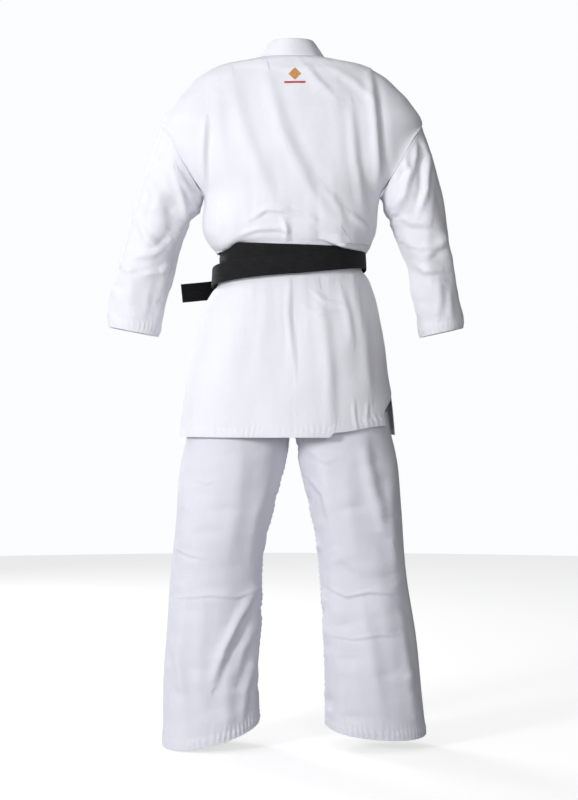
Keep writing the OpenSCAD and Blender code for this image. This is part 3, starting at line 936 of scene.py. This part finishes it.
def make_tie(side):
    """Short tape inside the front."""
    name = side_name(side)
    z = np.linspace(1075, 1150, 31)[:, None]
    angle = np.radians(np.linspace(26, 32, 6))[None] + 0 * z
    around = angle if side > 0 else math.pi - angle[:, ::-1]
    grid = jacket_section(z + 0 * angle, around, -1, -20)
    grid[..., 0] += 3 * np.sin(z / 17)
    piece = cloth(f"inner_tie_{name}_tape", grid, LAPEL, 1.2)
    sew_to_body(piece, grid, [f"inner_tie_{name}"])


# ---------------------------------------------------------------- sleeves

SLEEVE_FOLDS_LEFT = [
    ([(244, 1262), (222, 1228), (190, 1206)], 8, 5, -0.5),
    ([(232, 1200), (212, 1162), (190, 1150)], 9, 6, 0.5),
    ([(240, 1196), (224, 1150), (216, 1110), (228, 1076)], 9, 8, 0.55),
    ([(298, 1190), (268, 1130), (252, 1070)], 15, 5, 0.45),
    ([(330, 1120), (300, 1070), (268, 1040)], 11, 5.5, 0.5),
    ([(262, 1052), (290, 1030), (330, 1028)], 9, 6, -0.5),
    ([(254, 1012), (276, 992), (312, 988)], 8, 5, -0.5),
    ([(366, 1010), (340, 990), (318, 996)], 9, 4, -0.45),
    ([(336, 1060), (330, 1000), (336, 930)], 15, 4, 0.4),
    ([(282, 980), (296, 940), (300, 900)], 11, 4, 0.45),
    ([(372, 970), (356, 930), (352, 896)], 10, 3.5, 0.4),
]
SLEEVE_FOLDS_RIGHT = [
    ([(-256, 1286), (-262, 1230), (-250, 1186)], 9, 7, 0.55),
    ([(-258, 1280), (-276, 1230), (-272, 1160), (-258, 1110)], 9, 10, -0.6),
    ([(-214, 1240), (-236, 1196), (-228, 1150), (-210, 1120)], 10, 9, -0.55),
    ([(-292, 1230), (-298, 1170), (-292, 1110)], 13, 5, 0.45),
    ([(-216, 1106), (-246, 1086), (-292, 1082)], 9, 5, -0.5),
    ([(-232, 1050), (-266, 1036), (-306, 1040)], 9, 6, -0.5),
    ([(-330, 1070), (-308, 1040), (-276, 1016)], 10, 5, 0.5),
    ([(-252, 1006), (-276, 988), (-320, 990)], 8, 4.5, -0.5),
    ([(-282, 1130), (-286, 1060), (-292, 980)], 14, 4, 0.45),
    ([(-308, 970), (-312, 930), (-308, 896)], 10, 4, 0.45),
    ([(-336, 960), (-334, 920), (-338, 890)], 9, 3, 0.4),
]


def limb_relief(grid, s, angle, folds, seed, swell, start):
    """Folds of a sleeve or leg: drawn ones on the back, the same a little lower on the front, and
    a random swell. They fade in between the two distances of start."""
    around = angle * 72 + 0 * s[:, None]
    down = s[:, None] + 0 * angle
    loop = 72 * 2 * math.pi
    blend = smoothstep(0, 60, np.minimum(around, loop - around))
    random = swell * waves(around, down * 0.5, seed, 90) * blend
    random = random + swell * (1 - blend) * waves(around * 0, down * 0.5, seed + 3, 120)
    random = random + 0.4 * swell * sharpen(waves(around * 0.6, down, seed + 5, 48)) * blend
    facing = grid_normals(grid, ring=True, outward=-1)[..., 1]
    if facing[len(s) // 2, grid.shape[1] // 4] < 0:
        facing = -facing
    behind, before = smoothstep(-0.25, 0.35, facing), smoothstep(-0.25, 0.35, -facing)
    drawn = 0
    for path, width, height, lean in folds:
        drawn = drawn + behind * fold(grid[..., 0], grid[..., 2], path, width, height, lean)
        moved = [(x, z - 26) for x, z in path]
        drawn = drawn + 0.8 * before * fold(grid[..., 0], grid[..., 2], moved, width, height, lean)
    return (random + drawn) * smoothstep(*start, down)


def outer_normals(grid):
    """Normals of a tube pointing away from its middle, and the sign that turned them so."""
    normal = grid_normals(grid, ring=True)
    centre = grid.mean(1, keepdims=True)
    outward = -1 if ((grid - centre) * normal).sum() < 0 else 1
    return normal * outward, outward


def make_limb(name, grid, s, relief, material, split, nodes):
    """Cuts a tube into an upper and a lower piece that share a ring, and sews its hem thread."""
    normal, _ = outer_normals(grid)
    grid = grid + normal * relief[..., None]
    normal, outward = outer_normals(grid)
    cut = int(np.searchsorted(s, split))
    hem_row = int(np.searchsorted(s, s[-1] - HEM_DEPTH + 2.2))
    closed = [np.concatenate([rows[hem_row], rows[hem_row, :1]]) for rows in (grid, normal)]
    thread = stitches(f"{name}_hem_thread", [closed])
    upper = cloth(f"{name}_upper", grid, material, 1.0, True, outward, (0, cut), normal)
    lower = cloth(f"{name}_lower", grid, material, 1.0, True, outward, (cut, len(s) - 1), normal)
    declare(grid[:cut + 1], ring=True)
    declare(grid[cut:], ring=True)
    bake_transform(upper)
    for item in (lower, thread):
        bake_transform(item)
    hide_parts(*nodes[0])
    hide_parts(*nodes[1])


ELBOW_ROW = 3            # row of the sleeve's outline at which it is split in two


def make_sleeve(side):
    name = side_name(side)
    table = SLEEVE_LEFT if side > 0 else SLEEVE_RIGHT
    folds = SLEEVE_FOLDS_LEFT if side > 0 else SLEEVE_FOLDS_RIGHT
    grid, s, angle = tube(table, 2.2, 200)
    relief = limb_relief(grid, s, angle, folds, 81 + side, 2.6, (0, 26))
    from_end = s[-1] - s[:, None] + 0 * angle
    relief = relief * (0.4 + 0.6 * smoothstep(8, 40, from_end))
    relief = relief + hem_relief(from_end, angle * 56 + 0 * from_end, 91, 0.9)
    relief = relief + seam_relief(s[:, None] + 0 * angle, 0.9)
    make_limb(f"sleeve_{name}", grid, s, relief, JACKET,
              ring_distances(table)[ELBOW_ROW],
              ((f"upper_sleeve_{name}", f"underarm_gusset_{name}"),
               (f"lower_sleeve_{name}", f"sleeve_hem_{name}")))


# ---------------------------------------------------------------- trousers

LEG_SPLIT = 210          # how far below its top a leg is split, above the knee

LEG_FOLDS_LEFT = [
    ([(70, 330), (112, 316), (170, 322), (236, 314)], 4.5, 2.8, 0.6),
    ([(70, 330), (104, 270), (134, 210), (158, 140)], 12, 13, 0.62),
    ([(66, 262), (96, 205), (112, 150)], 11, 6, 0.55),
    ([(176, 398), (212, 404), (244, 416)], 5, 2, 0.55),
    ([(70, 188), (92, 126), (98, 66)], 9, 5, 0.55),
    ([(250, 240), (226, 170), (212, 90)], 13, 4, 0.4),
    ([(150, 560), (176, 552), (206, 560)], 5, 1.6, 0.5),
    ([(190, 640), (196, 500), (202, 360)], 26, 3.5, 0.3),
    ([(96, 630), (104, 520), (118, 400)], 22, 4, 0.4),
    ([(216, 330), (226, 220), (232, 90)], 20, 4, 0.35),
    ([(120, 210), (128, 130), (126, 50)], 15, 3.5, 0.4),
    ([(44, 560), (70, 480), (82, 400)], 12, 3, 0.4),
    ([(180, 320), (186, 200), (180, 80)], 16, 2.5, 0.3),
]
LEG_FOLDS_RIGHT = [
    ([(-76, 334), (-112, 318), (-160, 328), (-222, 322)], 5, 3.4, -0.6),
    ([(-84, 236), (-130, 232), (-180, 240), (-230, 236)], 4.5, 2.4, -0.6),
    ([(-152, 660), (-164, 590), (-180, 520), (-204, 440)], 17, 8, 0.5),
    ([(-30, 560), (-64, 530), (-74, 480)], 9, 4, -0.5),
    ([(-44, 610), (-70, 596), (-100, 606)], 8, 3, -0.5),
    ([(-80, 420), (-120, 380), (-166, 366)], 13, 5, -0.45),
    ([(-60, 630), (-84, 520), (-104, 400)], 20, 4, 0.4),
    ([(-120, 620), (-126, 500), (-140, 380)], 20, 3.5, 0.35),
    ([(-214, 600), (-212, 480), (-218, 360)], 12, 5, 0.45),
    ([(-150, 320), (-170, 210), (-190, 80)], 18, 4.5, 0.4),
    ([(-226, 340), (-240, 220), (-256, 80)], 12, 4, 0.45),
    ([(-96, 210), (-108, 130), (-112, 70)], 14, 3.5, 0.4),
]


def make_leg(side):
    name = side_name(side)
    table = LEG_LEFT if side > 0 else LEG_RIGHT
    folds = LEG_FOLDS_LEFT if side > 0 else LEG_FOLDS_RIGHT
    grid, s, angle = tube(table, 2.4, 220, 2.3)
    relief = limb_relief(grid, s, angle, folds, 111 + side, 2.2, (20, 90))
    from_end = s[-1] - s[:, None] + 0 * angle
    relief = relief * (0.4 + 0.6 * smoothstep(8, 50, from_end))
    relief = relief + hem_relief(from_end, angle * 90 + 0 * from_end, 121, 1.0)
    inner = np.abs(angle - math.pi) * 90 + 0 * from_end
    uneven = waves(s, s * 0, 141 + side, 60)[:, None]
    puckers = np.sin(s[:, None] * 2 * math.pi / 13 + 2.4 * uneven) * (0.6 + 0.4 * uneven)
    puckers = puckers * np.exp(-(inner / 12) ** 2)
    relief = relief + seam_relief(inner, 1.2) + 1.3 * puckers
    drop = 19 if side > 0 else 12
    back = np.where(np.sin(angle) > 0, 1.0, 0.8)
    hang = 1 - smoothstep(0, 140, from_end)
    grid[..., 2] -= drop * np.abs(np.sin(angle)) ** 1.3 * back * hang
    make_limb(f"trouser_leg_{name}", grid, s, relief, TROUSER, LEG_SPLIT,
              ((f"thigh_{name}",), (f"lower_leg_{name}", f"leg_hem_{name}")))


def make_seat():
    """Seat, waistband and the gusset between the legs, all worn under the jacket."""
    angle = np.linspace(0, 2 * math.pi, 200, endpoint=False)[None]
    face = np.where(np.sin(angle) >= 0, 1.0, -1.0)
    z = np.linspace(690, 1022, 80)[:, None]
    grid = body_section(SEAT_OUTLINE, z + 0 * angle, angle + 0 * z, face + 0 * z)
    normal, outward = outer_normals(grid)
    gather = 1.3 * smoothstep(900, 990, z) * np.sin(angle * 60)
    gather = gather + 1.5 * waves(grid[..., 0], z * 0.3, 131, 80)
    grid = grid + normal * (gather * smoothstep(690, 720, z))[..., None]
    seat = cloth("trouser_seat_cloth", grid, TROUSER, 1.0, True, outward)
    z = np.linspace(985, 1025, 21)[:, None]
    band = body_section(SEAT_OUTLINE, z + 0 * angle, angle + 0 * z, face + 0 * z, 2.5)
    normal, outward = outer_normals(band)
    ripple = 1.2 * np.sin(angle * 60) * (1 - (z - 1005) ** 2 / 500)
    band = band + normal * ripple[..., None]
    waistband = cloth("trouser_waistband_cloth", band, TROUSER, 3.5, True, outward)
    u = np.linspace(-1, 1, 41)[:, None]
    v = np.linspace(-1, 1, 15)[None]
    gusset = np.stack([6 + v * (4 + 20 * (1 - np.abs(u))), 98 * u + 0 * v,
                       656 + 20 * u * u + 0 * v], -1)
    crotch = cloth("crotch_gusset_cloth", gusset, TROUSER, 1.0, outward=-1)
    seat_nodes = ["trouser_seat_left", "trouser_seat_right"]
    sew_to_body(seat, grid, seat_nodes, ring=True)
    sew_to_body(waistband, band, ["trouser_waistband"], ring=True)
    sew_to_body(crotch, gusset, ["crotch_gusset"])


# ---------------------------------------------------------------- belt

def belt_strip(name, centre, wide, out, width=BELT_W, closed=False):
    """Stitched strip of belt along a path: wide points across it and out is its outer face."""
    across = np.linspace(-width / 2, width / 2, int(width / 0.8) + 1)
    pitch = width / BELT_ROWS
    line = np.abs((across + width / 2) % pitch - pitch / 2)
    round_off = (np.abs(across) / (width / 2)) ** 12
    height = BELT_THICK / 2 - 0.45 * np.exp(-(line / 0.75) ** 2) - 1.1 * round_off
    outer = np.stack([across, height], 1)
    profile = np.concatenate([outer, (outer * (1, -1))[::-1]])
    grid = (centre[:, None] + wide[:, None] * profile[None, :, :1]
            + out[:, None] * profile[None, :, 1:])
    count, ring = grid.shape[:2]
    rows = count if closed else count - 1
    i, j = (x.ravel() for x in np.meshgrid(np.arange(rows), np.arange(ring), indexing="ij"))
    k, m = (j + 1) % ring, (i + 1) % count
    quads = np.stack([i * ring + j, i * ring + k, m * ring + k, m * ring + j], 1)
    faces = quads.tolist()
    if not closed:
        last = (count - 1) * ring
        for q in range(len(across) - 1):
            end = [q, q + 1, ring - 2 - q, ring - 1 - q]
            faces.append(end[::-1])
            faces.append([last + corner for corner in end])
    points = to_frame(grid.reshape(-1, 3))
    test = quads[len(quads) // 2 // ring * ring + len(across) // 2]
    facing = np.cross(points[test[1]] - points[test[0]], points[test[3]] - points[test[0]])
    if np.dot(facing, out[min(test[0] // ring, count - 1)]) < 0:
        faces = [face[::-1] for face in faces]
    piece = new_piece(name, points, faces, BELT)
    along = np.concatenate([[0], np.cumsum(np.linalg.norm(np.diff(centre, axis=0), axis=1))])
    index = np.array(faces).ravel()
    uv = np.stack([along[index // ring] / 1000, profile[index % ring, 0] / 1000], 1)
    layer = piece.data.uv_layers.new(name="cloth")
    layer.data.foreach_set("uv", uv.astype(np.float32).ravel())
    return piece


def rounded(v):
    """Sine or cosine of the jacket's boxy section."""
    return np.sign(v) * np.abs(v) ** ROUND


def belt_wrap(name, ring, middle, tilt, rise, node):
    """One turn of belt: ring is its inside half width, half depth and shift to the left."""
    count = 340
    angle = np.linspace(0, 2 * math.pi, count, endpoint=False)
    c, s = np.cos(angle), np.sin(angle)
    width, depth, shift = ring
    half = BELT_THICK / 2
    level = middle + tilt * c + rise * s + 1.0 * np.sin(3 * angle + depth)
    centre = np.stack([shift + (width + half) * rounded(c), (depth + half) * rounded(s), level], 1)
    ahead = np.roll(centre, -1, 0) - np.roll(centre, 1, 0)
    ahead /= np.linalg.norm(ahead, axis=1, keepdims=True)
    up = np.stack([-0.05 * c, -0.05 * s, np.ones(count)], 1)
    up -= ahead * (up * ahead).sum(1, keepdims=True)
    up /= np.linalg.norm(up, axis=1, keepdims=True)
    out = np.cross(ahead, up)
    piece = belt_strip(name, centre, up, out, closed=True)
    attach(piece, "uniform")
    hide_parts(node)


def smooth_path(points, count):
    """Even, smooth path through a few points."""
    points = np.array(points, float)
    along = np.concatenate([[0], np.cumsum(np.linalg.norm(np.diff(points, axis=0), axis=1))])
    s = np.linspace(0, along[-1], count)
    path = np.stack([np.interp(s, along, points[:, k]) for k in range(3)], 1)
    return smooth_rows(path, 40)


def strip_frame(path, across_hint):
    """Direction across a strip and out of its face, at each point: out is towards the front."""
    ahead = np.gradient(path, axis=0)
    ahead /= np.linalg.norm(ahead, axis=1, keepdims=True)
    wide = np.broadcast_to(np.array(across_hint, float), path.shape).copy()
    wide -= ahead * (wide * ahead).sum(1, keepdims=True)
    wide /= np.linalg.norm(wide, axis=1, keepdims=True)
    out = np.cross(ahead, wide)
    flip = np.sign(-out[len(path) // 2, 1]) or 1
    return wide, out * flip


def make_belt():
    belt_wrap("belt_inner_wrap_cloth", (145.5, 113, 2), 1024, 6, 0, "belt_inner_wrap")
    belt_wrap("belt_outer_wrap_cloth", (158, 119, 6), OUTER_TURN_Z, OUTER_TURN_TILT,
              OUTER_TURN_RISE, "belt_outer_wrap")
    loop = smooth_path([(8, -120, 1034), (7, -134, 1031), (5, -142, 1016), (3, -143, 1000),
                        (1, -139, 984), (-2, -126, 974), (-3, -116, 976)], 60)
    knot = belt_strip("belt_knot_loop", loop, *strip_frame(loop, (1, 0, 0.1)), width=38)
    cross = smooth_path([(50, -127, 984), (30, -133, 992), (0, -135, 1003), (-30, -133, 997),
                         (-40, -128, 986)], 60)
    band = belt_strip("belt_knot_cross", cross, *strip_frame(cross, (0, 0, 1)), width=38)
    for piece in (knot, band):
        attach(piece, "uniform")
    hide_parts("belt_knot")
    ends = (
        ("belt_end_left", [(36, -132, 990), (70, -135, 984), (110, -136, 976), (170, -132, 962),
                           (238, -120, 955)]),
        ("belt_end_right", [(-26, -134, 992), (-48, -139, 982), (-70, -144, 968),
                            (-110, -152, 940), (-140, -158, 906)]))
    for node, points in ends:
        path = smooth_path(points, 90)
        piece = belt_strip(f"{node}_cloth", path, *strip_frame(path, (0, 0, 1)))
        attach(piece, node)
        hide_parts(node)


# ---------------------------------------------------------------- build

make_back()
make_emblem()
make_front(1)
make_front(-1)
make_collar(make_lapel(1, 4.0), make_lapel(-1, 1.5))
make_lining()
for wearer_side in (1, -1):
    make_tie(wearer_side)
    make_sleeve(wearer_side)
    make_leg(wearer_side)
make_seat()
make_belt()
